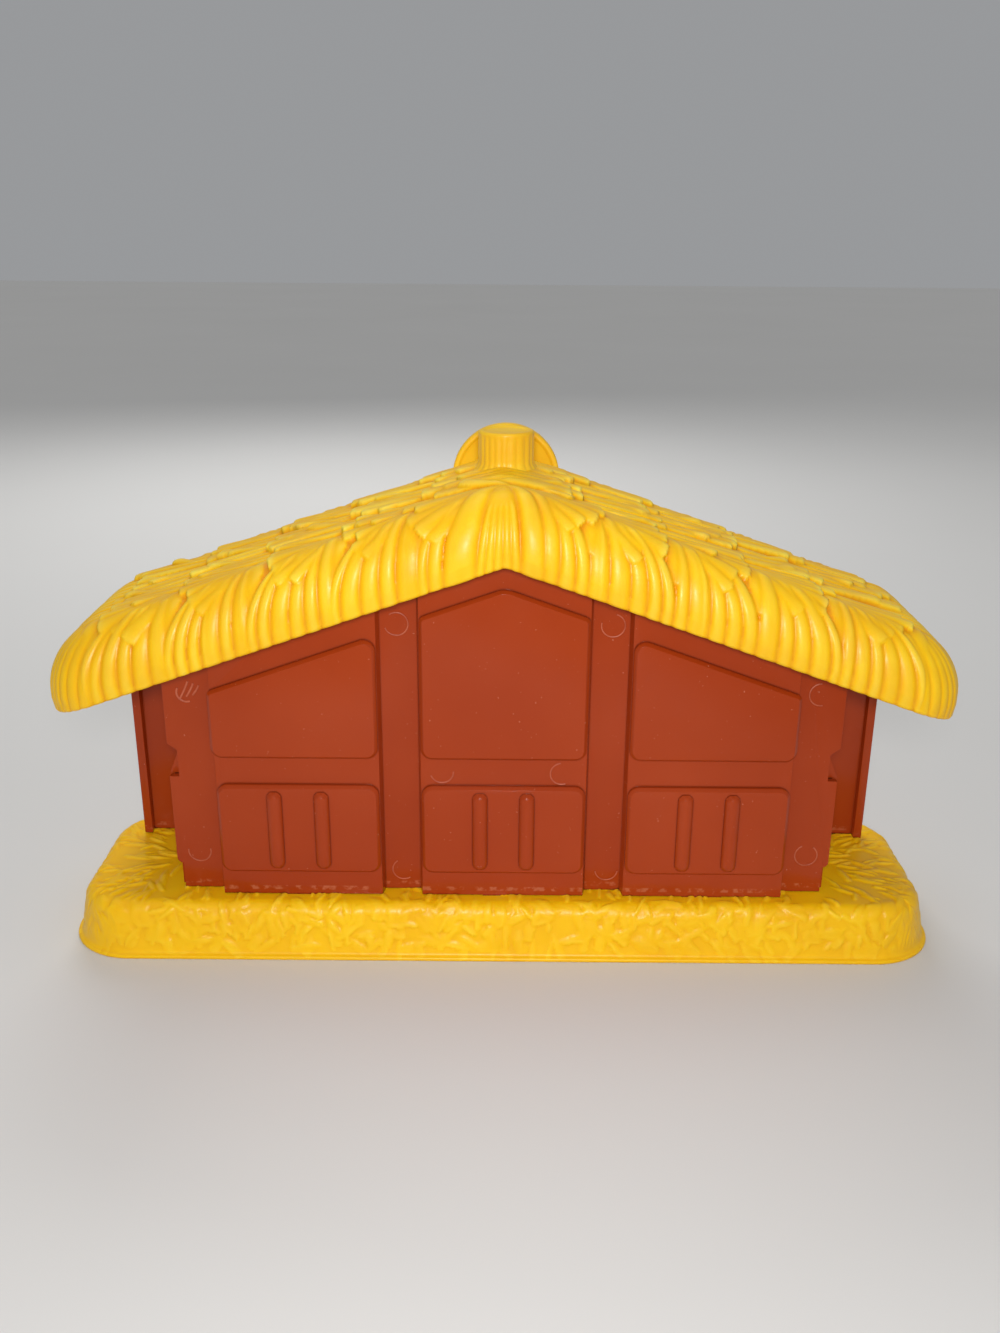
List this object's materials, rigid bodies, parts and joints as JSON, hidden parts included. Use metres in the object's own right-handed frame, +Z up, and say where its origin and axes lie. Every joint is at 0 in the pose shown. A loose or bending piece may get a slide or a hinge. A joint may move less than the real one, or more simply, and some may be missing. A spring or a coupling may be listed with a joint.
{
  "type": "toy nativity stable",
  "caption": "Toy stable with a moulded thatch gable roof, a bayed back wall, an open front and a straw base, with a round peg on the ridge for a toy figure.",
  "frame": {"origin": "centre of the bounding box's bottom, on the table under the middle of the base", "axes": "+Z up, +X along the stable's length, +Y towards the open front; the closed back wall faces -Y"},
  "size_m": [0.275, 0.076, 0.1572],
  "materials": {
    "straw_plastic": "glossy moulded polypropylene",
    "thatch_plastic": "glossy moulded polypropylene",
    "brown_plastic": "semi-gloss moulded polypropylene",
    "screw_steel": "zinc plated"
  },
  "bodies": {
    "root": {"base": "straw_plastic", "back_wall": "brown_plastic", "left_side_wall": "brown_plastic", "right_side_wall": "brown_plastic", "roof": "thatch_plastic", "base_screws": "screw_steel", "roof_screws": "screw_steel"}
  },
  "joints": []
}
